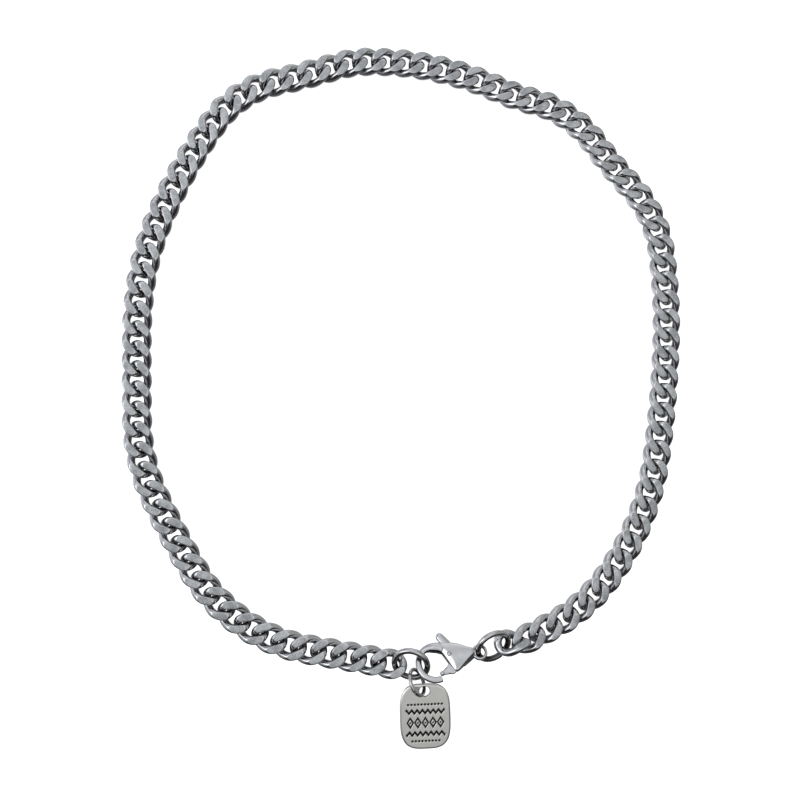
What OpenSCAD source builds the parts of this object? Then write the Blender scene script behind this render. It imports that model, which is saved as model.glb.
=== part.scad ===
// Curb chain choker lying flat in a closed loop, with a lobster clasp and a small tag.
// X is to the right and Y is up the loop as it lies, Z is up, and the surface is Z = 0.

/* [Chain] */
// Width of the chain across its links
chain_w = 6.35; // [6.25:0.05:6.4]
// Length of one link over its outside
link_l = 8.1; // [8.05:0.05:8.15]
// Diameter of the links' wire
wire_d = 1.75; // [1.6:0.05:1.75]
// Distance from one link to the next
pitch = 4.35; // [4.34:0.01:4.37]
// Twist of a link from one end to the other, in degrees
link_twist = 100; // [95:1:104]
// Thickness of the chain over its ground flats
chain_t = 2.44; // [2.3:0.02:2.6]

/* [Rings] */
// Outer diameter of the two jump rings
jump_ring_d = 8.4; // [8.35:0.05:8.45]
// Diameter of the jump rings' wire
jump_wire_d = 1.25; // [1:0.05:1.3]
// Outer diameter of the tag's ring
tag_ring_d = 6.16; // [6.1:0.02:6.2]
// Diameter of the tag ring's wire
tag_wire_d = 0.76; // [0.6:0.02:0.8]

/* [Clasp] */
// Radius of the hook, to the middle of its arm
hook_r = 3.55; // [3.5:0.05:3.6]
// Diameter of the hook's arm
hook_d = 1.3; // [1.2:0.05:1.35]
// Thickness of the clasp's body in the middle
body_t = 2.5; // [2.3:0.1:2.8]
// Outer diameter of the eye
eye_d = 3.4; // [3.3:0.05:3.45]
// Diameter of the eye's hole
eye_hole_d = 2.2; // [2.15:0.05:2.25]
// Thickness of the eye
eye_t = 1; // [0.9:0.05:1.1]
// Diameter of the lever's rivet
rivet_d = 0.8; // [0.6:0.05:0.9]
// Thickness of the lever inside the body
lever_t = 0.84; // [0.7:0.02:0.88]

/* [Tag] */
// Width of the tag
tag_w = 10.9; // [10.5:0.1:11]
// Length of the tag
tag_l = 13.9; // [13.5:0.1:14]
// Thickness of the tag
tag_t = 0.9; // [0.7:0.05:0.95]
// Diameter of the tag's hole
tag_hole_d = 2.25; // [2.2:0.05:2.35]

/* [Hidden] */

// Where the loop's first link lies, and the heading from it along the chain
start = [-5.37, -59.71];
start_heading = 168.78;
// The loop's bends, one after the other: [links, turn in degrees]
BENDS = [
    [4, 0], [7, -48], [4, -5], [4, -24], [4, -1], [2, -5], [4, -16], [3, -7], [3, -6], [4, -42], [3, 5],
    [2, -17], [7, -26], [2, 11], [4, -42], [3, 7], [4, -37], [5, -10], [6, -6], [7, -30], [4, -27]];
// The last two links are rolled by the clasp's pull: [x, y, z, heading, pitch, roll]
ROLLED = [
    [25.08, -55.24, 1.56, -152.6, 4.4, 3.6],
    [21.42, -55.86, 2.61, -179, -7.5, 52.9]];
// The first link is lifted a little by the end ring
first_link = [start[0], start[1], 1.42, start_heading + 1.8, -4.9, 3];
// Links in the chain's left half, from the end ring to the top of the loop
left_links = 44;
// Sections round a link, sides of its wire, and the roundness of its oval
link_sections = 14;
wire_sides = 6;
oval_power = 2.3;
// Half of the angle over which the oval's direction is taken, in degrees
slope_step = 0.5;

// Rings as they lie: [x, y, z, direction of the tilt's axis, tilt]
END_RING = [-0.72, -59.69, 2.76, -28.6, 33.1];
CLASP_RING = [17.1, -56.41, 2.9, 27.7, 35.4];
TAG_RING = [0.58, -63.49, 2.75, 116, 60.3];
// The tag's hole, the tag's turn on the surface, its lift at the top and its roll
tag_at = [2.25, -65.58, 1.81];
tag_turn = 1.6;
tag_lift = 5.1;
tag_roll = -3.2;
// Distance of the hole from the tag's middle, and the squareness of its outline
tag_hole_y = 5.35;
tag_power = 3.5;
tag_points = 72;

// The clasp's eye, the clasp's heading and its roll
clasp_at = [14.05, -57.53, 3.23];
clasp_heading = 7.5;
clasp_roll = -29;
// In the clasp's own plane, from its eye: the hook's centre and the angles that its arm spans
hook_at = [-9.8, -0.67];
hook_from = 72;
hook_to = 282;
// The domes of the body's two faces, and their middle along the clasp
dome_r = 14;
dome_x = -5;
dome_l = 14;
// The rivet, its clearance in the body and how far its heads lie under the domes
rivet_at = [-6.6, 0.5];
rivet_gap = 0.02;
rivet_sink = 0.03;
// The slot is wider than the lever by a gap on either side, and the lever runs on the rivet with another
slot_gap = 0.08;
run_gap = 0.05;
// The lever's boss round the rivet
lever_boss_d = 2.2;
// Its gate goes from the boss by a knee to a ball at the hook's tip
knee_at = [-6.5, -2.4];
knee_d = 2.3;
neck_d = 0.95;
ball_at = [-8.73, -3.1];
ball_d = 1.04;
// Its thumb tab leaves the body at the top by a shoulder
tab_at = [-7.85, 4.62];
tab_d = 1.7;
tab_t = 1.1;
shoulder_at = [-6.3, 2.2];
shoulder_d = 2;
// A cutter reaches past what it cuts
cut_h = 2 * body_t;

function signed_pow(v, p) = sign(v) * pow(abs(v), p);
function unit(v) = v / norm(v);

// Turn from each link to the next, and each link's heading and place along the bends
turns = [for (b = BENDS) for (i = [1 : b[0]]) b[1] / b[0]];
headings = [for (i = 0, h = start_heading; i <= len(turns);
                 h = h + (i < len(turns) ? turns[i] : 0), i = i + 1) h];
places = [for (i = 0, p = start; i <= len(turns);
               p = i < len(turns) ? p + pitch * [cos(headings[i] + turns[i] / 2),
                                                 sin(headings[i] + turns[i] / 2)] : p,
               i = i + 1) p];
flat_links = [for (i = [1 : len(turns)]) [places[i][0], places[i][1], chain_t / 2, headings[i], 0, 0]];
LINKS = concat([first_link], flat_links, ROLLED);

// One link is an oval of wire, twisted about its length
function oval(t) =
    let (a = (link_l - wire_d) / 2, b = (chain_w - wire_d) / 2,
         c = signed_pow(cos(t), 2 / oval_power), s = signed_pow(sin(t), 2 / oval_power),
         turn = -link_twist / 2 * c)
    [a * c, b * s * cos(turn), b * s * sin(turn)];
function oval_up(t) =
    let (turn = -link_twist / 2 * signed_pow(cos(t), 2 / oval_power))
    [0, -sin(turn), cos(turn)];
// One section of the wire: out from the oval, up from it, ground off level with the flats
function wire_section(t) =
    let (along = unit(oval(t + slope_step) - oval(t - slope_step)), out = unit(cross(along, oval_up(t))),
         up = cross(out, along), r = wire_d / 2)
    [for (k = [0 : wire_sides - 1])
        let (w = 360 * k / wire_sides, p = oval(t) + r * (cos(w) * out + sin(w) * up))
        [p[0], p[1], max(-chain_t / 2, min(chain_t / 2, p[2]))]];

LINK_POINTS = [for (i = [0 : link_sections - 1]) each wire_section(360 * (i + 0.5) / link_sections)];
function link_point(i, k) = (i % link_sections) * wire_sides + k % wire_sides;
LINK_FACES = [for (i = [0 : link_sections - 1]) for (k = [0 : wire_sides - 1])
    each [[link_point(i, k), link_point(i, k + 1), link_point(i + 1, k)],
          [link_point(i, k + 1), link_point(i + 1, k + 1), link_point(i + 1, k)]]];

module link(pose)
    translate([pose[0], pose[1], pose[2]]) rotate([pose[5], -pose[4], pose[3]])
        polyhedron(points = LINK_POINTS, faces = LINK_FACES);

module chain_left()
    color([0.70, 0.71, 0.73]) for (i = [0 : left_links - 1]) link(LINKS[i]);

module chain_right()
    color([0.70, 0.71, 0.73]) for (i = [left_links : len(LINKS) - 1]) link(LINKS[i]);

// A closed round ring of wire
module wire_ring(pose, outer_d, ring_wire_d)
    translate([pose[0], pose[1], pose[2]]) rotate([pose[4], 0, pose[3]])
        rotate_extrude($fn = 72)
            translate([(outer_d - ring_wire_d) / 2, 0]) circle(d = ring_wire_d, $fn = 32);

module end_ring() color([0.76, 0.76, 0.78]) wire_ring(END_RING, jump_ring_d, jump_wire_d);

module clasp_ring() color([0.76, 0.76, 0.78]) wire_ring(CLASP_RING, jump_ring_d, jump_wire_d);

module tag_ring() color([0.76, 0.76, 0.78]) wire_ring(TAG_RING, tag_ring_d, tag_wire_d);

// The tag is a plate with bowed sides and round corners, hung by a hole near its top
module tag()
    color([0.72, 0.72, 0.70])
        translate(tag_at) rotate([0, 0, tag_turn]) rotate([tag_lift, 0, 0]) rotate([0, tag_roll, 0])
            difference() {
                translate([0, -tag_hole_y, -tag_t / 2]) linear_extrude(tag_t)
                    polygon([for (i = [0 : tag_points - 1]) let (t = 360 * i / tag_points)
                        [tag_w / 2 * signed_pow(cos(t), 2 / tag_power),
                         tag_l / 2 * signed_pow(sin(t), 2 / tag_power)]]);
                cylinder(h = 2 * tag_t, d = tag_hole_d, center = true, $fn = 48);
            }

module in_clasp() translate(clasp_at) rotate([clasp_roll, 0, clasp_heading]) children();

// Outline of the body from its neck round by the top edge, the hook's root and the gate
module body_outline()
    polygon([[-1.1, 0.85], [-2.5, 1.4], [-4, 2.25], [-5.5, 2.85], [-7.9, 3.25], [-9.4, 3.4], [-11.2, 3.15],
             [-12, 2.6], [-12, 1.7], [-11, 1.8], [-9.2, 1.6], [-8.6, 1.4], [-7.75, -0.1], [-7.05, -1.3],
             [-6.4, -2.5], [-6, -3.2], [-5.1, -3.1], [-3.6, -2.35], [-2, -1.45], [-1.1, -0.85]]);

// The slot that the lever swings in, open on the hook's side, at the top and at the gate
module slot_outline()
    polygon([[-4.3, 3.6], [-8.8, 3.6], [-8.5, 2.2], [-9.2, 1], [-9.2, -4.6], [-4.3, -4.6], [-3.7, -2.2],
             [-3.9, 0.6]]);

// Both faces of the body are domed across its length
module body_dome()
    intersection_for (side = [-1, 1])
        translate([dome_x, 0, side * (dome_r - body_t / 2)]) rotate([0, 90, 0])
            cylinder(h = dome_l, r = dome_r, center = true, $fn = 120);

// The eye's rim has its edges taken off, inside and out. Its section is in halves of its own size.
EYE_SECTION = [[1, 0.3], [0.45, 1], [-0.45, 1], [-1, 0.3], [-1, -0.3], [-0.45, -1], [0.45, -1], [1, -0.3]];
module eye_rim()
    rotate_extrude($fn = 64)
        polygon([for (p = EYE_SECTION)
            [(eye_d + eye_hole_d) / 4 + p[0] * (eye_d - eye_hole_d) / 4, p[1] * eye_t / 2]]);

module clasp_body()
    color([0.78, 0.78, 0.80]) in_clasp() difference() {
        union() {
            intersection() {
                translate([0, 0, -cut_h / 2]) linear_extrude(cut_h) body_outline();
                body_dome();
            }
            translate(hook_at) rotate([0, 0, hook_from])
                rotate_extrude(angle = hook_to - hook_from, $fn = 72)
                    translate([hook_r, 0]) circle(d = hook_d, $fn = 32);
            eye_rim();
        }
        translate([0, 0, -lever_t / 2 - slot_gap]) linear_extrude(lever_t + 2 * slot_gap) slot_outline();
        translate(rivet_at) cylinder(h = cut_h, d = rivet_d + 2 * rivet_gap, center = true, $fn = 48);
        cylinder(h = cut_h, d = eye_hole_d, center = true, $fn = 48);
    }

module clasp_rivet()
    color([0.66, 0.66, 0.68]) in_clasp() translate(rivet_at)
        cylinder(h = body_t - 2 * rivet_sink, d = rivet_d, center = true, $fn = 48);

// A straight arm of the lever from one round end to another
module arm(a, b, a_d, b_d)
    polygon(let (d = unit(b - a), n = [-d[1], d[0]])
        [a + n * a_d / 2, a - n * a_d / 2, b - n * b_d / 2, b + n * b_d / 2]);

// Thumb tab, boss and gate are one piece, which turns on the rivet
module clasp_lever()
    color([0.80, 0.80, 0.82]) in_clasp() difference() {
        union() {
            translate([0, 0, -lever_t / 2]) linear_extrude(lever_t) {
                arm(tab_at, shoulder_at, tab_d, shoulder_d);
                arm(shoulder_at, rivet_at, shoulder_d, lever_boss_d);
                translate(shoulder_at) circle(d = shoulder_d, $fn = 48);
                arm(ball_at, knee_at, neck_d, knee_d);
                arm(knee_at, rivet_at, knee_d, lever_boss_d);
                translate(knee_at) circle(d = knee_d, $fn = 32);
                translate(rivet_at) circle(d = lever_boss_d, $fn = 48);
            }
            translate(tab_at) cylinder(h = tab_t, d = tab_d, center = true, $fn = 48);
            translate(ball_at) sphere(d = ball_d, $fn = 32);
        }
        translate(rivet_at) cylinder(h = cut_h, d = rivet_d + 2 * run_gap, center = true, $fn = 48);
    }

chain_left();
chain_right();
end_ring();
clasp_ring();
tag_ring();
tag();
clasp_body();
clasp_rivet();
clasp_lever();
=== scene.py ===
# %% [markdown]
# # A curb chain choker, laid flat in a closed loop
#
# The object is a chain of ground steel links, closed by a small lobster clasp, with a jump ring at either
# end and a little tag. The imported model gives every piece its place. This file gives each one its real
# surface: round wire where the model has six sides, softened edges, an engraved tag, and polished steel.
# Every shape is a surface worked out with numpy on a grid, and not modelled by hand, because a link comes 89
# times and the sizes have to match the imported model.

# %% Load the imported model
import math

import bpy
import numpy as np
from mathutils import Matrix


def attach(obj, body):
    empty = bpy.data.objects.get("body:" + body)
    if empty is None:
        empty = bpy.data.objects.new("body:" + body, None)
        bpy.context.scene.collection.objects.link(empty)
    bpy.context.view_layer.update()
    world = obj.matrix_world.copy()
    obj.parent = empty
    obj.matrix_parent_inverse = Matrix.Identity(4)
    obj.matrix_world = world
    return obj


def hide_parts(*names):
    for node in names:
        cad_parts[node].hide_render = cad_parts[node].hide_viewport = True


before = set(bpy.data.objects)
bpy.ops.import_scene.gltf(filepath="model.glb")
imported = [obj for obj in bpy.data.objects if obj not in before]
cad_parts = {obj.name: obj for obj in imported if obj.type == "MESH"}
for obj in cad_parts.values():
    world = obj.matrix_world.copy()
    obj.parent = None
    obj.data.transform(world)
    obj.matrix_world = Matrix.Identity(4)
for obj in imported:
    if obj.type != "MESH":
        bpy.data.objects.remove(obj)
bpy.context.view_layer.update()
MM = 0.001
CHOKER, LEVER = "choker", "lever"

# %% [markdown]
# ## Turning things
#
# On the real choker each piece lies tilted as it fell. Blender could keep that as the object's own rotation.
# It is worked into the points instead, because the objects have to stay unturned at the origin. So each
# piece is shaped round its own middle and then put in its place.

# %% Rotations and poses
def turn_x(degrees):
    """Rotation matrix about X: y and z turn by the angle."""
    c, s = math.cos(math.radians(degrees)), math.sin(math.radians(degrees))
    return np.array([[1, 0, 0], [0, c, -s], [0, s, c]])


def turn_y(degrees):
    """Rotation matrix about Y: the one about X, with its rows and columns moved on by one."""
    return np.roll(turn_x(degrees), 1, axis=(0, 1))


def turn_z(degrees):
    """Rotation matrix about Z: the one about X, with its rows and columns moved on by two."""
    return np.roll(turn_x(degrees), 2, axis=(0, 1))


def placed(points, turn, place):
    """Points of a piece, turned by the matrix and then moved to the place."""
    return points @ turn.T + place


print("X turned by a quarter about Z:", (turn_z(90) @ [1, 0, 0]).round(3))

# %% [markdown]
# ## The camera
#
# The picture is taken from above, over a point left of the loop's middle and nearer to the clasp, with a
# lens as long as the picture is wide. The camera could be set by eye. It is set by a height and two small
# tilts instead, so that the far right of the loop is seen slightly from its left.

# %% Camera
CAMERA_OVER, CAMERA_HEIGHT = (-19.01, -18.66), 176.5
CAMERA_TILT_X, CAMERA_TILT_Y = -5.09, -5.38
LENS = 36.0
CLIP_NEAR, CLIP_FAR = 0.01, 5.0


def camera_axes():
    """The camera's right, up and back axes as the columns of a matrix. The surface's downward normal, as
    the camera sees it, is the view axis turned by the two tilts, and the surface's X and Y follow."""
    down = turn_y(CAMERA_TILT_Y) @ turn_x(CAMERA_TILT_X) @ np.array([0, 0, 1.0])
    right = np.cross([0, 1, 0], down)
    right /= np.linalg.norm(right)
    surface_axes = np.stack([right, -np.cross(down, right), -down])
    return surface_axes * np.array([1, -1, -1])


camera = bpy.data.objects.new("camera", bpy.data.cameras.new("camera"))
camera.data.lens = camera.data.sensor_width = LENS
camera.data.clip_start, camera.data.clip_end = CLIP_NEAR, CLIP_FAR
camera_pose = np.eye(4)
camera_pose[:3, :3] = camera_axes()
camera_pose[:3, 3] = np.array([*CAMERA_OVER, CAMERA_HEIGHT]) * MM
camera.matrix_world = Matrix(camera_pose.tolist())
bpy.context.scene.collection.objects.link(camera)
bpy.context.scene.camera = camera
print("camera at", [round(v, 4) for v in camera.location])

# %% [markdown]
# ## Helpers for meshes
#
# A surface is an array of points, rows by columns. Each small square of four neighbours is a face, and the
# grid may close on itself along its rows, its columns or both. A tube's two ends are closed with a cap.
# A bevelled curve is wire too, but on a grid it is known how far the steel is ground at each point.

# %% Grids into meshes
def grid_faces(rows, columns, close_rows=False, close_columns=True):
    """Four corner numbers for every square of a grid of points, counted along the columns first."""
    row = np.arange(rows if close_rows else rows - 1)
    column = np.arange(columns if close_columns else columns - 1)
    row, column = np.meshgrid(row, column, indexing="ij")
    next_row, next_column = (row + 1) % rows, (column + 1) % columns
    corners = [row * columns + column, row * columns + next_column,
               next_row * columns + next_column, next_row * columns + column]
    return np.stack(corners, -1).reshape(-1, 4)


def end_caps(rows, columns):
    """The two faces that close a grid at its first and its last row."""
    return [list(range(columns))[::-1], list(range((rows - 1) * columns, rows * columns))]


def outward(points, quads, caps=()):
    """All faces as lists, turned round if the volume inside them is below zero. The volume is a sixth of
    the sum, over triangles, of one corner's dot product with the cross product of the other two."""
    fans = [[cap[0], cap[k], cap[k + 1]] for cap in caps for k in range(1, len(cap) - 1)]
    fans = np.reshape(fans, (-1, 3)).astype(int)
    triangles = np.concatenate([quads[:, [0, 1, 2]], quads[:, [0, 2, 3]], fans])
    a, b, c = (points[triangles[:, k]] for k in range(3))
    step = 1 if np.sum(a * np.cross(b, c)) >= 0 else -1
    return quads[:, ::step].tolist() + [list(cap)[::step] for cap in caps]


def mark(mesh, key, values):
    """Gives the mesh a value at each of its points, which a material can read."""
    layer = mesh.attributes.new(key, "FLOAT", "POINT")
    layer.data.foreach_set("value", np.asarray(values, np.float32))


def make_mesh(name, points, quads, attributes=None, caps=()):
    """A smooth mesh of a closed surface, from points in millimetres, quads and end caps."""
    mesh = bpy.data.meshes.new(name)
    mesh.from_pydata((points * MM).tolist(), [], outward(points, quads, caps))
    for key, values in (attributes or {}).items():
        mark(mesh, key, values)
    mesh.shade_smooth()
    return mesh


def make_piece(name, mesh, body, replaced, material):
    """An object for the mesh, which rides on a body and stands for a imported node."""
    piece = bpy.data.objects.new(name, mesh)
    bpy.context.scene.collection.objects.link(piece)
    mesh.materials.clear()
    mesh.materials.append(material)
    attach(piece, body)
    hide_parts(replaced)
    print(name, len(mesh.polygons), "faces")


print("a tube of 4 rows and 6 columns has", len(grid_faces(4, 6)), "faces")

# %% [markdown]
# ## Helpers for materials
#
# All of the choker is one metal, and it is the finish that differs: satin where it was ground and polished
# where it wasn't, with painted shade where a piece faces its own hollow. Pictures of steel could be wrapped
# round it, but noise in the object's own space needs no unwrapping and shows no seams.

# %% Node helpers
MIX_FIRST, MIX_SECOND, MIX_RESULT = 6, 7, 2  # the sockets that a mix node uses for colours
RELIEF = 0.00002


class Nodes:
    """A node tree, with short calls to add nodes and to join them."""

    def __init__(self, tree):
        self.tree = tree

    def add(self, kind, **settings):
        """A node of that kind. Settings that name a socket set or join it; others set the node."""
        node = self.tree.nodes.new(kind)
        for key, value in settings.items():
            if hasattr(node, key):
                setattr(node, key, value)
        for key, value in settings.items():
            if not hasattr(node, key):
                self.feed(node.inputs[key.replace("_", " ")], value)
        return node

    def feed(self, socket, value):
        """Joins a socket to another node's output, or sets its value."""
        if isinstance(value, bpy.types.NodeSocket):
            self.tree.links.new(value, socket)
        else:
            socket.default_value = value


class Shader(Nodes):
    """The node tree of a new material."""

    def __init__(self, name):
        self.material = bpy.data.materials.new(name)
        self.material.use_nodes = True
        super().__init__(self.material.node_tree)
        self.surface = self.tree.nodes["Principled BSDF"]
        self.place = self.add("ShaderNodeTexCoord").outputs["Object"]

    def noise(self, scale, detail=3.0, roughness=0.5):
        """Noise from 0 to 1 in the object's own space; scale is in features per metre."""
        node = self.add("ShaderNodeTexNoise", Vector=self.place, Scale=scale, Detail=detail,
                        Roughness=roughness)
        return node.outputs["Fac"]

    def grain(self, scale):
        """Noise with much fine detail, as metal has."""
        return self.noise(scale, detail=4, roughness=0.7)

    def attribute(self, key):
        """A value that the mesh carries at each of its points."""
        return self.add("ShaderNodeAttribute", attribute_name=key).outputs["Fac"]

    def between(self, factor, low, high):
        """A number that runs from low to high as the factor runs from 0 to 1."""
        return self.add("ShaderNodeMapRange", Value=factor, To_Min=low, To_Max=high).outputs["Result"]

    def spread(self, value, low, high):
        """0 below the low value, 1 above the high one, and evenly between."""
        return self.add("ShaderNodeMapRange", Value=value, From_Min=low, From_Max=high).outputs["Result"]

    def mix(self, factor, first, second):
        """A colour between two others."""
        node = self.add("ShaderNodeMix", data_type="RGBA")
        self.feed(node.inputs["Factor"], factor)
        self.feed(node.inputs[MIX_FIRST], first)
        self.feed(node.inputs[MIX_SECOND], second)
        return node.outputs[MIX_RESULT]

    def math(self, operation, first, second):
        """Two numbers added or multiplied."""
        node = self.add("ShaderNodeMath", operation=operation)
        self.feed(node.inputs[0], first)
        self.feed(node.inputs[1], second)
        return node.outputs[0]

    def steel(self, colour, roughness, relief, strength):
        """Joins a metal's colour, roughness and fine relief, and gives back the material."""
        self.feed(self.surface.inputs["Base Color"], colour)
        self.feed(self.surface.inputs["Roughness"], roughness)
        bump = self.add("ShaderNodeBump", Height=relief, Strength=strength, Distance=RELIEF)
        self.feed(self.surface.inputs["Normal"], bump.outputs["Normal"])
        self.feed(self.surface.inputs["Metallic"], 1.0)
        print(self.material.name, "has", len(self.tree.nodes), "nodes")
        return self.material


# %% [markdown]
# ## The links' finish
#
# The links' flats were ground, so they are satin with fine scratches and small dull patches, and the wire
# beside them is polished. Two materials would meet in a hard line. So each point carries marks that the
# shader mixes by: `ground` is 1 on the flats and 0 on the round wire, and `inside` is 1 on the side of the
# wire that faces the link's own hole, where the shader paints shade.

# %% Chain steel
# The dark colour and its share are painted shade on the side of the wire that faces the link's hole.
STEEL, INNER_SHADE_COLOUR = (0.66, 0.675, 0.69, 1), (0.16, 0.13, 0.14, 1)
GROUND_STEEL, GROUND_DULL = (0.72, 0.745, 0.76, 1), (0.30, 0.315, 0.33, 1)
INNER_SHADE_SHARE = 0.6
GRAIN_SCALE, PATCH_SCALE, SCRATCH_SCALE = 2400, 420, 14000
WEAR_FROM, WEAR_TO = 0.36, 0.64
POLISHED_ROUGH, GROUND_ROUGH = 0.10, 0.34


def chain_steel():
    """Steel whose ground flats are satin and whose inside is darkened with painted shade."""
    shader = Shader("chain_steel")
    ground, inside = shader.attribute("ground"), shader.attribute("inside")
    grain, patches = shader.grain(GRAIN_SCALE), shader.noise(PATCH_SCALE, detail=1)
    scratch = shader.grain(SCRATCH_SCALE)
    wear = [shader.between(shader.spread(noise, WEAR_FROM, WEAR_TO), 0, 0.5) for noise in (grain, patches)]
    satin = shader.mix(shader.math("ADD", *wear), GROUND_STEEL, GROUND_DULL)
    # Painted shade: the side of the wire that faces the link's hole is mixed towards the dark colour.
    polished = shader.mix(shader.math("MULTIPLY", inside, INNER_SHADE_SHARE), STEEL, INNER_SHADE_COLOUR)
    rough = shader.math("ADD", shader.between(ground, POLISHED_ROUGH, GROUND_ROUGH),
                        shader.between(scratch, -0.04, 0.06))
    return shader.steel(shader.mix(ground, polished, satin), rough, scratch, strength=0.12)


CHAIN_STEEL = chain_steel()

# %% [markdown]
# ## The fittings' finish
#
# The rings and the clasp are polished all over. A plain mirror would do, but real steel has faint scratches
# and is a little cloudy. Where a fitting faces its own hollow it mirrors only itself and looks black. The
# mark `inside` paints that black on as shade, because light that bounces many times is slow to work out.

# %% Fittings' steel
# Painted shade: the black of a fitting where it faces its own hollow, and how much of it is mixed in.
HOLLOW_SHADE_BLACK, HOLLOW_SHADE_SHARE = (0.03, 0.028, 0.03, 1), 0.85
CLOUD_DULLS, CLOUD_ROUGHENS = 0.82, 0.05


def plain_steel(name, colour, roughness):
    """Polished steel with faint scratches and a little cloudiness, with painted shade, black, where `inside`
    is 1.
    """
    shader = Shader(name)
    # Painted shade where the fitting faces its own hollow.
    inside = shader.math("MULTIPLY", shader.attribute("inside"), HOLLOW_SHADE_SHARE)
    cloudy, scratch = shader.noise(scale=700, detail=2), shader.grain(scale=12000)
    dull = (*(CLOUD_DULLS * value for value in colour[:3]), 1)
    polished = shader.mix(cloudy, colour, dull)
    uneven = shader.between(cloudy, roughness - CLOUD_ROUGHENS, roughness + CLOUD_ROUGHENS)
    rough = shader.math("ADD", uneven, shader.between(scratch, -0.04, 0.05))
    return shader.steel(shader.mix(inside, polished, HOLLOW_SHADE_BLACK), rough, scratch, strength=0.1)


RING_STEEL = plain_steel("ring_steel", (0.68, 0.68, 0.69, 1), 0.08)
CLASP_STEEL = plain_steel("clasp_steel", (0.72, 0.73, 0.74, 1), 0.10)

# %% [markdown]
# ## One link
#
# A curb link is an oval of round wire, twisted about its length until it lies flat against the next, and
# then ground on both faces. A modifier could twist a bent curve. Here the middle line is a formula, an oval
# whose width turns about X as it goes, because the wire and its flats can then be worked out from it.

# %% Middle line of a link
LINK_W, LINK_L, WIRE_D = 6.35, 8.1, 1.75
LINK_TWIST, OVAL_POWER = 100.0, 2.3


def signed_power(value, power):
    """The power of a number's size, with the number's sign."""
    return np.sign(value) * np.abs(value) ** power


def link_line(t):
    """Middle line of the wire: x = a cos t and y = b sin t, each to the power 2 / 2.3, then y is turned
    about X by half of the twist times -x / a."""
    along = signed_power(np.cos(t), 2 / OVAL_POWER)
    turn = -math.radians(LINK_TWIST) / 2 * along
    across = (LINK_W - WIRE_D) / 2 * signed_power(np.sin(t), 2 / OVAL_POWER)
    return np.stack([(LINK_L - WIRE_D) / 2 * along, across * np.cos(turn), across * np.sin(turn)], -1)


def unit(vectors):
    """Vectors of length 1 along the last axis."""
    return vectors / np.linalg.norm(vectors, axis=-1, keepdims=True)


print("the middle line spans", np.ptp(link_line(np.linspace(0, 2 * np.pi, 81)), axis=0).round(2), "mm")

# %% [markdown]
# ## A link's wire and flats
#
# The wire is a circle carried along the middle line, and ground away where it passes the level of a flat.
# Two boxes and a Boolean would leave razor edges, so the cut is worked out. A circle whose middle is at
# height h, with radius r, whose top is only s times r higher because its plane leans, meets the level f of a
# flat at the angle acos((f - h) / (r s)) either side of its top, and some points always lie there. Polishing
# has rounded these edges: a point that was d above the flat is cut to (sqrt(d^2 + e^2) - d) / 2 below it,
# which is next to nothing in the middle of a flat.

# %% Surface of a link
LINK_SECTIONS, ARC_POINTS = 60, 7
SLOPE_STEP = math.radians(0.5)
FLAT_SPREAD = np.array([-1, -0.9, -0.72, -0.4, 0, 0.4, 0.72, 0.9, 1])
LEAST_FLAT = 0.10
CHAIN_T, FLAT_RISE, EDGE_SOFTNESS = 2.44, 0.08, 0.18
GROUND_FROM, GROUND_OVER = 0.11, 0.08


def wire_axes(t):
    """The wire's middle, and the two directions across it: out of the link's hole, and up from that."""
    line = link_line(t)
    forward = unit(link_line(t + SLOPE_STEP) - link_line(t - SLOPE_STEP))
    turn = -math.radians(LINK_TWIST) / 2 * signed_power(np.cos(t), 2 / OVAL_POWER)
    lean = np.stack([np.zeros_like(t), -np.sin(turn), np.cos(turn)], -1)
    out = unit(np.cross(forward, lean))
    return line, out, np.cross(out, forward)


def link_surface():
    """Points of one link's surface, with where they are ground and how far they face its own hole."""
    line, out, up = wire_axes((np.arange(LINK_SECTIONS) + 0.5) * 2 * np.pi / LINK_SECTIONS)
    radius, level = WIRE_D / 2, CHAIN_T / 2 + FLAT_RISE
    rise = radius * np.hypot(out[:, 2], up[:, 2])
    top = np.unwrap(np.arctan2(up[:, 2], out[:, 2]))[:, None]
    half_top, half_low = (
        np.maximum(np.arccos(np.clip((level + sign * line[:, 2]) / rise, -1, 1)), LEAST_FLAT)[:, None]
        for sign in (-1, 1))
    side = (np.pi - half_top - half_low) * (np.arange(ARC_POINTS) + 1) / (ARC_POINTS + 1)
    angle = top + np.concatenate([half_top * FLAT_SPREAD, half_top + side,
                                  np.pi + half_low * FLAT_SPREAD, np.pi + half_low + side], axis=1)
    points = line[:, None] + radius * (np.cos(angle)[..., None] * out[:, None]
                                       + np.sin(angle)[..., None] * up[:, None])
    above = np.abs(points[..., 2]) - level
    height = level - (np.hypot(above, EDGE_SOFTNESS) - above) / 2
    points[..., 2] = np.sign(points[..., 2]) * np.maximum(height, 0)
    ground = np.clip((above - GROUND_FROM) / GROUND_OVER, 0, 1)
    # How far the wire faces the link's hole. The material paints shade there.
    inside = np.clip(-np.cos(angle), 0, 1)
    return points, ground, inside


LINK_POINTS, LINK_GROUND, LINK_INSIDE = link_surface()
LINK_FACES = grid_faces(*LINK_POINTS.shape[:2], close_rows=True)
print("a link has", len(LINK_FACES), "faces and spans", np.ptp(LINK_POINTS, axis=(0, 1)).round(2), "mm")

# %% [markdown]
# ## Where the links lie
#
# The loop was laid by hand, so it has straighter stretches and tighter bends. Instances on a drawn curve
# could follow it, but a table keeps the pitch exact: `BENDS` tells, from the end ring round to the clasp,
# how many links lie in each bend and how many degrees the chain turns over them. A link lies one pitch from
# the last, along the mean of the two headings. The first link is lifted by its ring, and the last two are
# rolled by the clasp, so those have a height, heading, pitch and roll of their own.

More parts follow.
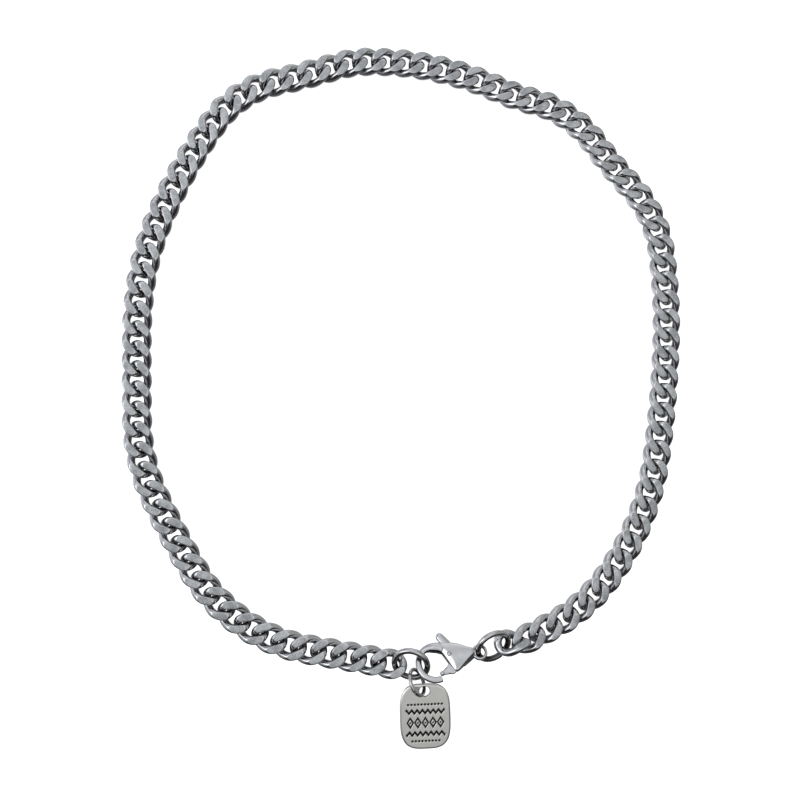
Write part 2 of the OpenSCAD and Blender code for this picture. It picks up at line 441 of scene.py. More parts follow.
# %% Poses of all the links
PITCH = 4.35
START, START_HEADING = np.array([-5.37, -59.71]), 168.78
BENDS = ((4, 0), (7, -48), (4, -5), (4, -24), (4, -1), (2, -5), (4, -16), (3, -7), (3, -6), (4, -42),
         (3, 5), (2, -17), (7, -26), (2, 11), (4, -42), (3, 7), (4, -37), (5, -10), (6, -6), (7, -30),
         (4, -27))
FIRST_LINK = (1.42, START_HEADING + 1.8, -4.9, 3)
ROLLED_LINKS = ((25.08, -55.24, 1.56, -152.6, 4.4, 3.6), (21.42, -55.86, 2.61, -179, -7.5, 52.9))
LEFT_LINKS = 44


def link_poses():
    """x, y, z, heading, pitch and roll of every link, one row each."""
    bends = np.array(BENDS, float)
    turns = np.repeat(bends[:, 1] / bends[:, 0], bends[:, 0].astype(int))
    headings = START_HEADING + np.concatenate([[0], np.cumsum(turns)])
    middle = np.radians(headings[:-1] + turns / 2)
    steps = PITCH * np.stack([np.cos(middle), np.sin(middle)], -1)
    places = START + np.concatenate([[[0, 0]], np.cumsum(steps, axis=0)])
    flat = np.full(len(headings), CHAIN_T / 2)
    rows = np.column_stack([places, flat, headings, 0 * flat, 0 * flat])
    rows[0, 2:] = FIRST_LINK
    return np.concatenate([rows, ROLLED_LINKS])


def chain_mesh(name, poses):
    """The links of one half of the chain as one mesh. A link that is rolled over until its side would
    sink below the surface is worn flat there."""
    turns = np.array([turn_z(p[3]) @ turn_y(-p[4]) @ turn_x(p[5]) for p in poses])
    local = LINK_POINTS.reshape(-1, 3)
    points = np.einsum("lij,pj->lpi", turns, local) + poses[:, None, :3]
    points[..., 2] = np.maximum(points[..., 2], 0)
    faces = LINK_FACES + (np.arange(len(poses)) * len(local))[:, None, None]
    marks = {"ground": np.tile(LINK_GROUND.ravel(), len(poses)),
             "inside": np.tile(LINK_INSIDE.ravel(), len(poses))}
    return make_mesh(name, points.reshape(-1, 3), faces.reshape(-1, 4), marks)


LINKS = link_poses()
for side, rows in (("left", LINKS[:LEFT_LINKS]), ("right", LINKS[LEFT_LINKS:])):
    mesh = chain_mesh(f"{side}_links", rows)
    make_piece(f"{side}_links", mesh, CHOKER, f"chain_{side}", CHAIN_STEEL)

# %% [markdown]
# ## Bars
#
# Rings, hook, eye and lever are lengths of metal with a rounded section. A bevelled curve could sweep them,
# but its width and thickness can't change apart. So a bar is a section carried along a flat line, with a
# width and a thickness for each point. A bar whose section is a circle is wire.

# %% Bars
BAR_SIDES = 28
END_FROM, END_TO = 0.12, 1.5


def arc(radius, u):
    """Points at the angles u round a circle, whose radius may differ from one angle to the next."""
    return np.reshape(radius, (-1, 1)) * np.stack([np.cos(u), np.sin(u)], -1)


def bar(line, half_width, half_height, power=2.0):
    """A section carried along a line that lies flat. Across the line it is w sgn(cos q) |cos q|^(2/p), and
    upwards it is h sgn(sin q) |sin q|^(2/p), for q from 0 to a full turn."""
    line = np.column_stack([line, np.zeros(len(line))])
    forward = unit(np.gradient(line, axis=0))
    out = np.cross(forward, [0, 0, 1])
    q = np.arange(BAR_SIDES) * 2 * np.pi / BAR_SIDES
    across = half_width[:, None] * signed_power(np.cos(q), 2 / power)
    rise = half_height[:, None] * signed_power(np.sin(q), 2 / power)
    return line[:, None] + across[..., None] * out[:, None] + rise[..., None] * np.array([0, 0, 1])


def round_end(line, size, radius, steps=7):
    """A line and its section's size, carried on past the end by r sin a while the section shrinks by
    r (1 - cos a), for a up to nearly a quarter turn."""
    a = np.linspace(END_FROM, END_TO, steps)
    forward = unit(line[-1] - line[-2])
    return (np.concatenate([line, line[-1] + radius * np.sin(a)[:, None] * forward]),
            np.concatenate([size, size[-1] - radius * (1 - np.cos(a))]))


def straight(start, end, rows=12):
    """Evenly spaced points from one place to another."""
    return np.asarray(start) + np.linspace(0, 1, rows)[:, None] * (np.asarray(end) - np.asarray(start))


print("each row of a bar has", BAR_SIDES, "points")

# %% [markdown]
# ## Pillows
#
# The clasp's body and the lever's round parts are plates with soft edges. An outline could be extruded and
# bevelled, but a bevel modifier stumbles over many short sides. A pillow is an outline that draws in towards
# its middle as it rises, so its edge is soft from the start, and its face may have any height.

# %% Pillows
PILLOW_POLE = 0.03


def pillow(outline, middle, height, power, rows=41):
    """An outline drawn in to its middle by the factor s = sin q, for q from 0 to a half turn, which stands
    at h (1 - s^p)^(1/p), above for the first half of q and below for the second. The height h may differ
    from place to place, and the larger p is, the steeper are the sides."""
    q = np.linspace(PILLOW_POLE, np.pi - PILLOW_POLE, rows)[:, None]
    flat = middle + (outline - middle) * np.sin(q)[..., None]
    side = np.sign(np.cos(q)) * np.maximum(0, 1 - np.sin(q) ** power) ** (1 / power)
    rise = np.broadcast_to(height(flat) * side, flat.shape[:2])
    return np.concatenate([flat, rise[..., None]], axis=-1)


def soft_outline(corners, points=160, softness=6):
    """A closed outline through the corners, evenly spaced, whose corners are rounded by averaging each
    point with its neighbours a few times."""
    corners = np.array(corners, float)
    ends = np.roll(corners, -1, axis=0)
    reach = np.concatenate([[0], np.cumsum(np.linalg.norm(ends - corners, axis=1))])
    at = np.arange(points) * reach[-1] / points
    closed = np.concatenate([corners, corners[:1]])
    outline = np.stack([np.interp(at, reach, closed[:, k]) for k in (0, 1)], -1)
    for _ in range(softness):
        outline = (np.roll(outline, 1, axis=0) + 2 * outline + np.roll(outline, -1, axis=0)) / 4
    return outline


print("a soft square of 1 mm spans", np.ptp(soft_outline([(0, 0), (1, 0), (1, 1), (0, 1)]), axis=0).round(3))

# %% [markdown]
# ## The rings
#
# A jump ring is a turn of round wire, cut from a coil and pressed shut, so it has a butt joint: two flat
# ends that nearly touch. A torus would have no joint. So a ring is a bar that stops just short of closing,
# and one function makes all three from a table.

# %% Jump rings
RING_SECTIONS, RING_JOINT_GAP = 120, 0.05
BUTT_STEPS, BUTT_SIZES, BUTT_ROUND = (0, 0.25, 0.6, 1), (0.86, 0.95, 0.99), 0.12
# How steeply the painted shade rises on the side of the ring wire that faces the ring's middle.
RING_SHADE_RISE = 1.4
# Each ring: outer diameter, wire, place, direction and size of its tilt, and where round it the joint is
RINGS = {
    "end_ring": (8.4, 1.25, (-0.72, -59.69, 2.76), -28.6, 33.1, 250),
    "clasp_ring": (8.4, 1.25, (17.1, -56.41, 2.9), 27.7, 35.4, 285),
    "tag_ring": (6.16, 0.76, (0.58, -63.49, 2.75), 116, 60.3, 110),
}


def ring_surface(outer_d, wire_d, joint):
    """A circle of wire from one side of its joint round to the other, with its ends a little rounded."""
    radius = (outer_d - wire_d) / 2
    gap = RING_JOINT_GAP / radius / 2
    edge = np.array(BUTT_STEPS) * BUTT_ROUND * wire_d / radius
    u = np.concatenate([gap + edge, np.linspace(gap + 2 * edge[-1], 2 * np.pi - gap - 2 * edge[-1],
                                                RING_SECTIONS), 2 * np.pi - gap - edge[::-1]])
    size = np.full(len(u), wire_d / 2)
    size[:3] *= BUTT_SIZES
    size[-3:] *= BUTT_SIZES[::-1]
    return bar(arc(radius, u + math.radians(joint)), size, size)


for name, (outer_d, wire_d, place, direction, tilt, joint) in RINGS.items():
    points = ring_surface(outer_d, wire_d, joint)
    turned = placed(points.reshape(-1, 3), turn_z(direction) @ turn_x(tilt), place)
    rows, sides = points.shape[:2]
    # The side of the wire that faces the ring's middle is marked for painted shade.
    inside = np.clip(-RING_SHADE_RISE * np.cos(np.arange(sides) * 2 * np.pi / sides), 0, 1)
    mesh = make_mesh(f"{name}_wire", turned, grid_faces(rows, sides), {"inside": np.tile(inside, rows)},
                     end_caps(rows, sides))
    make_piece(f"{name}_wire", mesh, CHOKER, name, RING_STEEL)

# %% [markdown]
# ## Joining shapes into one skin
#
# The clasp's body, hook and eye are one casting, with no seam where they meet. A Boolean union would leave
# one, so a voxel remesh gives the overlapping parts a common skin. Slots and holes are then cut, and a
# second remesh and some smoothing soften their edges. The work is done at a scale of one metre to the
# millimetre, because a voxel has a least size.

# %% Working objects
# Each skin: the size of its voxels, and how often it is smoothed
BODY_SKIN, LEVER_SKIN = (0.06, 6), (0.05, 5)


def work_object(name, surfaces):
    """A throwaway object that holds several closed grids of points, one metre to the millimetre."""
    points, faces, start = [], [], 0
    for surface in surfaces:
        corners = surface.reshape(-1, 3)
        own = outward(corners, grid_faces(*surface.shape[:2]), end_caps(*surface.shape[:2]))
        faces += [[start + corner for corner in face] for face in own]
        points.append(corners)
        start += len(corners)
    mesh = bpy.data.meshes.new(name)
    mesh.from_pydata(np.concatenate(points).tolist(), [], faces)
    piece = bpy.data.objects.new(name, mesh)
    bpy.context.scene.collection.objects.link(piece)
    return piece


def modify(piece, kind, **settings):
    """Adds a modifier with its settings."""
    modifier = piece.modifiers.new(kind.lower(), kind)
    for key, value in settings.items():
        setattr(modifier, key, value)


def cut_away(piece, cutters):
    """Takes closed grids of points away from a piece, and gives back the objects that hold them."""
    tools = [work_object("cutter", [cutter]) for cutter in cutters]
    for tool in tools:
        modify(piece, "BOOLEAN", operation="DIFFERENCE", solver="EXACT", object=tool)
    return tools


print("voxels of", BODY_SKIN[0], "mm for the body and", LEVER_SKIN[0], "mm for the lever")

# %% [markdown]
# ## Finishing a skin
#
# The insides of the clasp's eye and hook look black. A node can find such places while it renders, but
# slowly. So a point is marked by how far its normal points to the middle of a hollow near it, and the
# material paints shade there. The modifiers are applied, the mesh goes to its place in millimetres, and the
# objects that made it are removed.

# %% Finishing a skin
FACING_FROM, FACING_OVER = 0.46, 0.12


def facing(mesh, hollows):
    """How far each point of the mesh faces the middle of a hollow near it, from 0 to 1. A hollow is a
    middle and a reach, and a bevel that leans less than 27 degrees towards it stays at 0."""
    points, normals = np.zeros((2, len(mesh.vertices) * 3), np.float32)
    mesh.vertices.foreach_get("co", points)
    mesh.vertex_normals.foreach_get("vector", normals)
    inside = np.zeros(len(mesh.vertices))
    for middle, reach in hollows:
        way = middle - points.reshape(-1, 3)[:, :2]
        lean = np.sum(unit(way) * normals.reshape(-1, 3)[:, :2], axis=1)
        near = np.linalg.norm(way, axis=1) < reach
        inside = np.maximum(inside, near * np.clip((lean - FACING_FROM) / FACING_OVER, 0, 1))
    return inside


def finished(name, work, tools, turn, place, hollows=()):
    """The piece's mesh with its modifiers applied, turned to its place, in metres."""
    shaped = work.evaluated_get(bpy.context.evaluated_depsgraph_get())
    mesh = bpy.data.meshes.new_from_object(shaped)
    mesh.name = name
    if hollows:
        mark(mesh, "inside", facing(mesh, hollows))
    pose = np.eye(4)
    pose[:3, :3] = turn * MM
    pose[:3, 3] = np.asarray(place) * MM
    mesh.transform(Matrix(pose.tolist()))
    mesh.shade_smooth()
    for used in tools + [work]:
        bpy.data.objects.remove(used)
    return mesh


def one_skin(name, surfaces, cutters, voxel, smoothing, turn, place, hollows=()):
    """The common skin of the surfaces, less the cutters, with every edge softened by smoothing."""
    work = work_object("work", surfaces)
    modify(work, "REMESH", mode="VOXEL", voxel_size=voxel)
    tools = cut_away(work, cutters)
    modify(work, "REMESH", mode="VOXEL", voxel_size=voxel)
    modify(work, "SMOOTH", factor=0.5, iterations=smoothing)
    return finished(name, work, tools, turn, place, hollows)


print("black from", round(math.degrees(math.asin(FACING_FROM + FACING_OVER))), "degrees of lean on")

# %% [markdown]
# ## The clasp's body, hook and eye
#
# The casting is a flat claw. Its body has steep sides, a wide bevel off its face beside the hook, and a
# narrow one along its lower edge. It could be sculpted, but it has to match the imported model. So the body is
# a pillow whose face is the least of a dome and some sloping planes, the hook is a bar that is stout where
# it leaves the body and sweeps round, slimmer, to a blunt tip, and the eye is a closed bar.

# %% Shapes of the casting
CLASP_AT, CLASP_TURN = (14.05, -57.53, 3.23), turn_z(7.5) @ turn_x(-29)
BODY_T, DOME_R, LEAST_HALF_T = 2.5, 14.0, 0.1
BODY_OUTLINE = ((-1.1, 0.85), (-2.5, 1.4), (-4, 2.25), (-5.5, 2.85), (-7.9, 3.25), (-9.2, 3.35),
                (-8.9, 2.2), (-8.6, 1.4), (-7.75, -0.1), (-7.05, -1.3), (-6.4, -2.5), (-6, -3.2),
                (-5.1, -3.1), (-3.6, -2.35), (-2, -1.45), (-1.1, -0.85))
BODY_MIDDLE = np.array([-5.4, 0.2])
# Each bevel: the line on which it starts, its height there and its slope
HOOK_EDGE, LOWER_EDGE = ((-8.18, 1.56), (-6.35, -2.25)), ((-4.96, -3.05), (-1.88, -0.9))
BEVELS = ((HOOK_EDGE, 0.8, 0.47), (HOOK_EDGE, 0.8, 1.0), (LOWER_EDGE, 0.65, 1.6))
HOOK_AT, HOOK_R, HOOK_D, HOOK_HALF_T = np.array([-9.8, -0.67]), 3.55, 1.3, 0.57
HOOK_FROM, HOOK_TO, HOOK_ROWS = 50, 282, 94
# What the root of the hook has more, and the degrees over which that is lost
ROOT_WIDER, ROOT_THICKER = (0.38, 80, 130), (0.6, 85, 140)
TIP_ROUND = 0.2
EYE_D, EYE_HOLE_D, EYE_T, EYE_ROWS = 3.4, 2.2, 1.0, 65


def left_of(line, flat):
    """Distance from a line's left side, below zero on its right: the cross product of the line's own
    direction and the way from its start."""
    forward = unit(np.subtract(line[1], line[0]))
    way = flat - line[0]
    return forward[0] * way[..., 1] - forward[1] * way[..., 0]


def body_height(flat):
    """Height of the body's face: the least of a dome across the clasp and of the bevels, each of which
    is its height plus its slope times the distance from its line."""
    dome = np.sqrt(DOME_R ** 2 - flat[..., 1] ** 2) - DOME_R + BODY_T / 2
    bevels = [height + slope * left_of(line, flat) for line, height, slope in BEVELS]
    return np.maximum(np.minimum.reduce([dome, *bevels]), LEAST_HALF_T)


def circle(radius, points=64):
    """Points of a closed circle."""
    return arc(radius, np.arange(points) * 2 * np.pi / points)


def eye_surface():
    """A ring whose section is a rounded box, closed on itself by its first row coming again."""
    line = arc((EYE_D + EYE_HOLE_D) / 4, np.linspace(0, 2 * np.pi, EYE_ROWS))
    return bar(line, np.full(EYE_ROWS, (EYE_D - EYE_HOLE_D) / 4), np.full(EYE_ROWS, EYE_T / 2), power=3.0)


def eased(value, start, end):
    """A smooth step that is 0 up to the start and 1 from the end on."""
    share = np.clip((value - start) / (end - start), 0, 1)
    return share * share * (3 - 2 * share)


def hook_surface():
    """An arm along an arc whose outer side keeps one radius, while its section goes from 2.06 by 2.34 mm
    at the body to 1.3 by 1.14 mm, and a blunt tip."""
    degrees = np.linspace(HOOK_FROM, HOOK_TO, HOOK_ROWS)
    half_width = HOOK_D / 2 + ROOT_WIDER[0] * (1 - eased(degrees, *ROOT_WIDER[1:]))
    half_height = HOOK_HALF_T + ROOT_THICKER[0] * (1 - eased(degrees, *ROOT_THICKER[1:]))
    line = HOOK_AT + arc(HOOK_R + HOOK_D / 2 - half_width, np.radians(degrees))
    line, half_width = round_end(line, half_width, TIP_ROUND)
    half_height = np.concatenate([half_height, half_width[len(degrees):]])
    return bar(line, half_width, half_height, power=2.8)


print("the body is", round(2 * float(body_height(BODY_MIDDLE)), 2), "mm thick in the middle")

# %% [markdown]
# ## The casting's slot and rivet hole
#
# The body is cast with a slot for the lever and drilled for the rivet. Two half bodies could leave the slot
# open, but a voxel skin closes narrow gaps. So both are cut out of it with blocks, which are outlines
# carried straight up.

# %% Cutting and making the casting
SLOT_OUTLINE = ((-4.3, 3.6), (-8.8, 3.6), (-8.5, 2.2), (-9.2, 1), (-9.2, -4.6), (-4.3, -4.6),
                (-3.7, -2.2), (-3.9, 0.6))
LEVER_T, SLOT_GAP = 0.84, 0.08
RIVET_AT, RIVET_D = np.array([-6.6, 0.5]), 0.8
BODY_RIVET_GAP, LEVER_RIVET_GAP = 0.02, 0.05
STEEP_SIDES = 12.0


def block(outline, bottom, top):
    """An outline carried straight up from one level to another."""
    levels = np.array([bottom, top])[:, None]
    flat = np.broadcast_to(outline, (2, *np.shape(outline)))
    return np.concatenate([flat, np.broadcast_to(levels[..., None], (2, len(outline), 1))], axis=-1)


slot_half = LEVER_T / 2 + SLOT_GAP
body_cutters = [block(SLOT_OUTLINE, -slot_half, slot_half),
                block(RIVET_AT + circle(RIVET_D / 2 + BODY_RIVET_GAP), -BODY_T, BODY_T)]
body_parts = [pillow(soft_outline(BODY_OUTLINE), BODY_MIDDLE, body_height, STEEP_SIDES), hook_surface(),
              eye_surface()]
# The hollows of the hook and the eye, where the material paints shade.
body_hollows = ((HOOK_AT, HOOK_R + HOOK_D), (np.zeros(2), EYE_D / 2))
mesh = one_skin("clasp_casting", body_parts, body_cutters, *BODY_SKIN, CLASP_TURN, CLASP_AT, body_hollows)
make_piece("clasp_casting", mesh, CHOKER, "clasp_body", CLASP_STEEL)

# %% [markdown]
# ## The lever
#
# The lever is one piece: a thumb tab that stands out of the body, a boss that turns on the rivet, and a gate
# that runs to a small ball beside the hook's tip. An outline could be extruded, but its parts differ in
# thickness. So it is four tapering bars, two round pillows and a ball under one skin. It rides on its own
# body, so that it swings when the clasp is opened.

# %% Lever
TAB_AT, TAB_D, TAB_T = np.array([-7.85, 4.62]), 1.7, 1.1
SHOULDER_AT, SHOULDER_D = np.array([-6.3, 2.2]), 2.0
KNEE_AT, KNEE_D, BOSS_D = np.array([-6.5, -2.4]), 2.3, 2.2
BACK_FROM, BACK_TO, BACK_D = KNEE_AT + [0.6, 0.2], RIVET_AT + [0.4, 0], (1.4, 1.6)
BALL_AT, BALL_D, POLE = np.array([-8.73, -3.1]), 1.04, 0.05
NECK_D = 0.8 * 0.95
ARM_POWER, END_POWER = 2.5, 0.6


def lever_arm(start, end, start_d, end_d, start_t, end_t):
    """A flat bar with a round far end, whose width and thickness run from one size to another."""
    line = straight(end, start)
    share = np.linspace(0, 1, len(line))
    width = (end_d + (start_d - end_d) * share) / 2
    height = (end_t + (start_t - end_t) * share) / 2
    rounded, half_width = round_end(line, width, width[-1])
    half_height = np.concatenate([height, height[-1] * (half_width[len(line):] / width[-1]) ** END_POWER])
    return bar(rounded, half_width, half_height, ARM_POWER)


def ball_surface(middle, radius):
    """A ball: the section's size is the radius times the sine of the angle from one pole."""
    q = np.linspace(POLE, np.pi - POLE, 16)
    line = middle + radius * np.stack([np.cos(q), 0 * q], -1)
    return bar(line, radius * np.sin(q), radius * np.sin(q))


def disc(middle, diameter):
    """A round pillow as thick as the lever."""
    return pillow(middle + circle(diameter / 2), middle, lambda flat: LEVER_T / 2, STEEP_SIDES)


lever_parts = [
    lever_arm(TAB_AT, SHOULDER_AT, TAB_D, SHOULDER_D, TAB_T, LEVER_T),
    lever_arm(SHOULDER_AT, RIVET_AT, SHOULDER_D, BOSS_D, LEVER_T, LEVER_T),
    lever_arm(BACK_FROM, BACK_TO, *BACK_D, LEVER_T, LEVER_T),
    lever_arm(BALL_AT, KNEE_AT, NECK_D, KNEE_D, NECK_D, LEVER_T),
    disc(RIVET_AT, BOSS_D),
    disc(KNEE_AT, KNEE_D),
    ball_surface(BALL_AT, BALL_D / 2),
]
lever_cutters = [block(RIVET_AT + circle(RIVET_D / 2 + LEVER_RIVET_GAP), -BODY_T, BODY_T)]
mesh = one_skin("lever_plate", lever_parts, lever_cutters, *LEVER_SKIN, CLASP_TURN, CLASP_AT)
make_piece("lever_plate", mesh, LEVER, "clasp_lever", CLASP_STEEL)

# %% [markdown]
# ## The rivet
#
# The rivet is a pin pressed through the body, with a low dome at either end. A bevelled cylinder would be
# close, but a profile spun about the pin gives the domes their own height.

# %% Rivet
RIVET_SINK, RIVET_DOME, RIVET_SIDES = 0.03, 0.12, 40


def spun(radius, height, sides):
    """A profile of radii and heights, turned about Z."""
    ring = np.concatenate([circle(1, sides), np.zeros((sides, 1))], axis=-1)
    return ring * radius[:, None, None] + np.array([0, 0, 1]) * height[:, None, None]


half = BODY_T / 2 - RIVET_SINK
a = np.linspace(POLE, np.pi / 2, 8)
radius = RIVET_D / 2 * np.sin(a)
dome = half - RIVET_DOME * (1 - np.cos(a))
points = spun(np.concatenate([radius, radius[::-1]]), np.concatenate([dome, -dome[::-1]]), RIVET_SIDES)
rows, sides = points.shape[:2]
turned = placed((points + [*RIVET_AT, 0]).reshape(-1, 3), CLASP_TURN, CLASP_AT)
mesh = make_mesh("rivet_pin", turned, grid_faces(rows, sides), caps=end_caps(rows, sides))
make_piece("rivet_pin", mesh, CHOKER, "clasp_rivet", CLASP_STEEL)

# %% [markdown]
# ## The tag's ornament
#
# The tag is a small cast plate whose face is engraved with a plain ornament of beads, zigzags and lozenges,
# sunk into the metal and blackened. Each stroke could be a cutter, but there would be dozens. Instead a few
# formulas give the distance from the nearest stroke, and the depth follows from that.

# %% The tag's ornament
STROKE, STROKE_SLOPE = 0.18, 0.10
THIN_STROKE = STROKE * 0.8


def repeated(x, pitch, count):
    """Distance to the nearest of a row of places about x = 0, a pitch apart."""
    half = (count - 1) / 2
    return x - pitch * (np.clip(np.round(x / pitch + half), 0, count - 1) - half)


def beads(x, y, pitch, count, radius):
    """Distance from a row of round beads, below zero inside them."""
    return np.hypot(repeated(x, pitch, count), y) - radius


def zigzag(x, y, pitch, count, height):
    """Distance from a zigzag line: y against a triangle wave of that height and pitch."""
    phase = np.abs((x / pitch + count / 2) % 1 - 0.5) * 2
    slope = 2 * height / pitch
    beyond = np.maximum(0, np.abs(x) - count * pitch / 2)
    return np.hypot(np.abs(y - height * (phase - 0.5)) / np.hypot(1, slope), beyond) - STROKE


def lozenges(x, y, pitch, count, half_w, half_l, bead):
    """Distance from a row of open lozenges, each with a bead in it."""
    near = repeated(x, pitch, count)
    edge = (np.abs(near) / half_w + np.abs(y) / half_l - 1) * half_w * half_l / np.hypot(half_w, half_l)
    return np.minimum(np.abs(edge) - THIN_STROKE, np.hypot(near, y) - bead)


def engraved(x, y):
    """How deep the ornament is at a point of the face, from 0 to 1. y is measured from the hole."""
    distance = np.minimum.reduce([
        beads(x, y + 2.75, pitch=0.72, count=11, radius=0.23),
        zigzag(x, y + 4.3, pitch=1.15, count=7, height=0.75),
        lozenges(x, y + 6.65, pitch=1.62, count=5, half_w=0.62, half_l=1.0, bead=0.17),
        zigzag(x, -(y + 9.0), pitch=1.15, count=7, height=0.75),
        beads(x, y + 10.55, pitch=0.72, count=9, radius=0.23)])
    return np.clip(0.5 - distance / STROKE_SLOPE, 0, 1)


print("depth in a bead and beside it:", engraved(0, -2.75), engraved(0, -3.4))

# %% [markdown]
# ## The tag's plate
#
# The plate has bowed sides and a soft rim. It could be a bevelled box, but the ornament needs a dense face.
# So the face is a square grid drawn out to the tag's outline, with a skirt of points for the rim. The hole
# is cut last, with a spool whose flared ends take off the hole's two edges.

# %% The tag's plate
TAG_W, TAG_L, TAG_T, TAG_POWER = 10.9, 13.9, 0.9, 3.5
TAG_HOLE_D, TAG_HOLE_Y = 2.25, 5.35
TAG_COLUMNS, TAG_ROWS, ENGRAVED_DEPTH = 150, 190, 0.13
# The rim's profile, outwards and down from the face: a bevel and then a rounded edge
RIM_OUT = np.array([0, 0.05, 0.27, 0.34, 0.38, 0.40])
RIM_DOWN = np.array([0, 0.01, 0.12, 0.17, 0.25, 0.45])
# The spool's profile: how far it is past the hole's radius, and at what height
SPOOL_WIDER = np.array([0.5, 0.14, 0.04, 0, 0, 0.04, 0.14, 0.5])
SPOOL_HEIGHT = np.array([0.80, 0.46, 0.38, 0.30, -0.30, -0.38, -0.46, -0.80])


def tag_plate():
    """Points, quads, depths and cap of the plate. A square's point (u, v) is scaled by
    (|u/m|^p + |v/m|^p)^(-1/p), where m is the larger of |u| and |v|, and so lands inside the outline."""
    u, v = np.meshgrid(np.linspace(-1, 1, TAG_COLUMNS), np.linspace(-1, 1, TAG_ROWS))
    m = np.maximum(np.maximum(np.abs(u), np.abs(v)), 1e-9)
    scale = (np.abs(u / m) ** TAG_POWER + np.abs(v / m) ** TAG_POWER) ** (-1 / TAG_POWER)
    x = u * scale * (TAG_W / 2 - RIM_OUT[-1])
    y = v * scale * (TAG_L / 2 - RIM_OUT[-1]) - TAG_HOLE_Y
    depth = engraved(x, y)
    face = np.stack([x, y, TAG_T / 2 - ENGRAVED_DEPTH * depth], -1).reshape(-1, 3)
    number = np.arange(TAG_COLUMNS * TAG_ROWS).reshape(TAG_ROWS, TAG_COLUMNS)
    rim = np.concatenate([number[0, :-1], number[:-1, -1], number[-1, :0:-1], number[:0:-1, 0]])
    around = face[rim][:, :2] - [0, -TAG_HOLE_Y]
    forward = np.roll(around, -1, axis=0) - np.roll(around, 1, axis=0)
    out = unit(np.stack([forward[:, 1], -forward[:, 0]], -1))
    reach = np.concatenate([RIM_OUT[1:], RIM_OUT[-2::-1]])
    level = np.concatenate([TAG_T / 2 - RIM_DOWN[1:], -TAG_T / 2 + RIM_DOWN[-2::-1]])
    skirt = np.concatenate([face[rim][None, :, :2] + reach[:, None, None] * out,
                            np.broadcast_to(level[:, None, None], (len(level), len(rim), 1))], axis=-1)
    below = grid_faces(len(level) + 1, len(rim))
    lookup = np.concatenate([rim, len(face) + np.arange(skirt.shape[0] * len(rim))])
    quads = np.concatenate([grid_faces(TAG_ROWS, TAG_COLUMNS, close_columns=False),
                            lookup[below][:, ::-1]])
    last = lookup[-len(rim):][::-1]
    points = np.concatenate([face, skirt.reshape(-1, 3)])
    marks = np.concatenate([depth.ravel(), np.zeros(skirt.shape[0] * len(rim))])
    return points, quads, marks, list(last)


points, quads, depths, cap = tag_plate()
plate = bpy.data.meshes.new("plate")
plate.from_pydata(points.tolist(), [], quads.tolist() + [cap])
mark(plate, "engraved", depths)
print("the plate spans", np.ptp(points, axis=0).round(3), "mm")

# %% [markdown]
# ## The tag's finish
#
# The tag is softly brushed, a little warmer than the chain, and its engraving is black. A second material
# could do that. The depth that the mesh carries is used instead, because it blackens a stroke from its edge
# down, as the real filling does.

# %% The tag's steel and the finished tag
TAG_STEEL, TAG_DULL = (0.96, 0.955, 0.92, 1), (0.84, 0.835, 0.80, 1)
ENGRAVED_BLACK = (0.012, 0.011, 0.012, 1)
TAG_AT, TAG_TURN = (2.25, -65.58, 1.81), turn_z(1.6) @ turn_x(5.1) @ turn_y(-3.2)
BRUSHED_ROUGH, FILLING_ROUGH = 0.36, 0.75


def tag_steel():
    """Cast, softly brushed metal with blackened engraving."""
    shader = Shader("tag_steel")
    depth = shader.attribute("engraved")
    cloudy, grain = shader.noise(scale=600, detail=3), shader.grain(scale=16000)
    colour = shader.mix(depth, shader.mix(cloudy, TAG_STEEL, TAG_DULL), ENGRAVED_BLACK)
    rough = shader.math("ADD", shader.between(depth, BRUSHED_ROUGH, FILLING_ROUGH),
                        shader.between(grain, -0.06, 0.08))
    return shader.steel(colour, rough, grain, strength=0.15)


work = bpy.data.objects.new("plate", plate)
bpy.context.scene.collection.objects.link(work)
tools = cut_away(work, [spun(TAG_HOLE_D / 2 + SPOOL_WIDER, SPOOL_HEIGHT, 56)])
mesh = finished("tag_plate", work, tools, TAG_TURN, TAG_AT)
make_piece("tag_plate", mesh, CHOKER, "tag", tag_steel())

# %% [markdown]
# ## The light table
#
# The choker lies on a light table: a sheet of white glass, lit from below, which leaves no shadows. A white
# floor under lamps would catch some. So the sheet glows, strongly for the camera and faintly for the steel,
# and it also mirrors the sky softly.

# %% Light table
FLOOR_DROP, FLOOR_HALF = 0.02, 900.0
TABLE_COLOUR, TABLE_ROUGH = (0.72, 0.72, 0.73, 1), 0.35
GLOW_FOR_CAMERA, GLOW_FOR_STEEL = 0.94, 0.04


def table_material():
    """Glossy white glass that glows."""
    shader = Shader("light_table")
    seen = shader.add("ShaderNodeLightPath").outputs["Is Camera Ray"]
    glow = shader.between(seen, GLOW_FOR_STEEL, GLOW_FOR_CAMERA)
    for key, value in {"Base Color": TABLE_COLOUR, "Metallic": 1.0, "Roughness": TABLE_ROUGH,
                       "Emission Color": (1, 1, 1, 1), "Emission Strength": glow}.items():
        shader.feed(shader.surface.inputs[key], value)
    return shader.material


corners = np.array([[-1, -1, 0], [1, -1, 0], [1, 1, 0], [-1, 1, 0]]) * FLOOR_HALF - [0, 0, FLOOR_DROP]
floor_mesh = bpy.data.meshes.new("floor")
floor_mesh.from_pydata((corners * MM).tolist(), [], [[0, 1, 2, 3]])
floor = bpy.data.objects.new("floor", floor_mesh)
floor.data.materials.append(table_material())
bpy.context.scene.collection.objects.link(floor)
bpy.context.scene.view_settings.view_transform = "Standard"
print("the table is", 2 * FLOOR_HALF * MM, "m wide")

# %% [markdown]
# ## The sky
#
# Polished steel shows little but what it mirrors, so the room gives the links their light and dark sides.
# Lamps and cards could stand round the table, but a sky worked out from the direction alone has no edges:
# soft light overhead, a small bright window high in the west, and low walls that are dark in the south.

# %% Sky
SKY_BASE = (0.03, 0.026, 0.03)
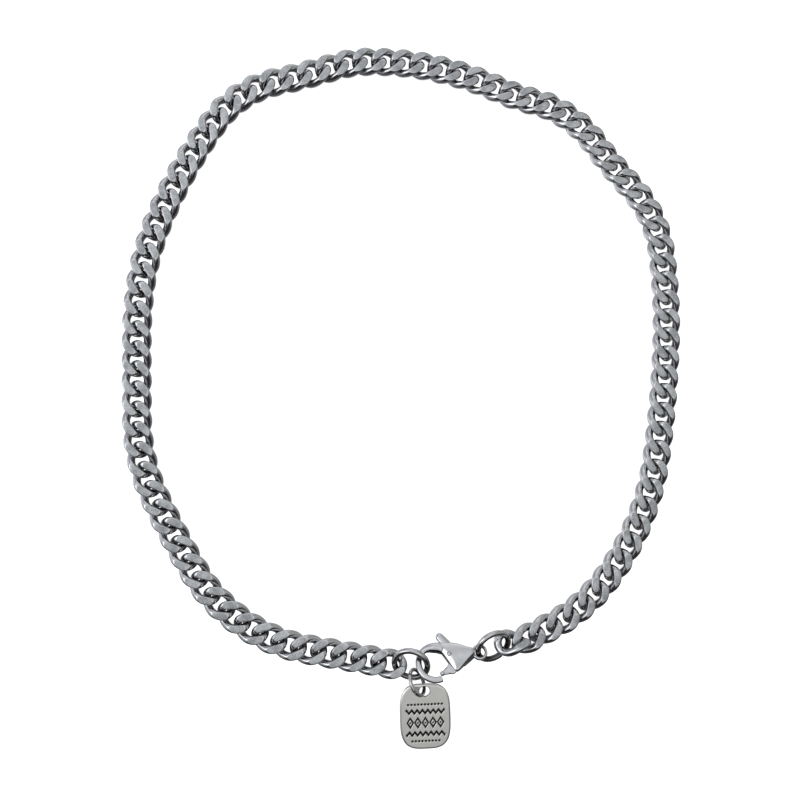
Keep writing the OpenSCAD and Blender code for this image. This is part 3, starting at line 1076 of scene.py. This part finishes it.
# Each lobe: direction to its middle, angles at which it is full and gone, and its colour
SKY_LOBES = (
    ((-0.15, 0.2, 1), 14, 50, (0.60, 0.62, 0.635)),
    ((0.05, -0.45, 0.9), 9, 26, (0.28, 0.28, 0.27)),
    ((0.55, 0.05, 0.85), 8, 35, (0.34, 0.34, 0.335)),
    ((0.1, 0.85, 0.42), 18, 36, (0.14, 0.145, 0.15)),
    ((0, 1, 0.05), 15, 38, (0.26, 0.26, 0.27)),
    ((0.6, 0.7, 0.12), 22, 55, (0.34, 0.34, 0.32)),
    ((0.95, 0.1, 0.1), 12, 45, (0.12, 0.125, 0.12)),
    ((-0.75, 0.05, 0.68), 9, 24, (1.2, 1.2, 1.2)),
    ((-0.6, 0.7, 0.3), 25, 62, (0.38, 0.38, 0.40)),
    ((-1, 0, 0.05), 20, 50, (0.38, 0.38, 0.41)),
)


def make_sky():
    """The sky's colour is a base and, for each lobe, its colour times a smooth step of the dot product of
    the view direction and the lobe's own. The camera itself sees the sky as white as the table."""
    world = bpy.data.worlds.new("sky")
    bpy.context.scene.world = world
    world.use_nodes = True
    sky = Nodes(world.node_tree)
    direction = sky.add("ShaderNodeTexCoord").outputs["Generated"]
    total = sky.add("ShaderNodeCombineColor", **dict(zip(("Red", "Green", "Blue"), SKY_BASE))).outputs[0]
    shares = [(sky.add("ShaderNodeLightPath").outputs["Is Camera Ray"], (1, 1, 1))]
    for towards, full, gone, colour in SKY_LOBES:
        dot = sky.add("ShaderNodeVectorMath", operation="DOT_PRODUCT")
        sky.feed(dot.inputs[0], direction)
        sky.feed(dot.inputs[1], unit(np.array(towards, float)))
        step = sky.add("ShaderNodeMapRange", interpolation_type="SMOOTHSTEP", Value=dot.outputs["Value"],
                       From_Min=math.cos(math.radians(gone)), From_Max=math.cos(math.radians(full)))
        shares.append((step.outputs["Result"], colour))
    for share, colour in shares:
        scaled = sky.add("ShaderNodeVectorMath", operation="MULTIPLY_ADD")
        for number, value in enumerate((colour, share, total)):
            sky.feed(scaled.inputs[number], value)
        total = scaled.outputs[0]
    sky.feed(sky.tree.nodes["Background"].inputs["Color"], total)
    return len(shares)


print("the sky adds up", make_sky(), "shares of light")
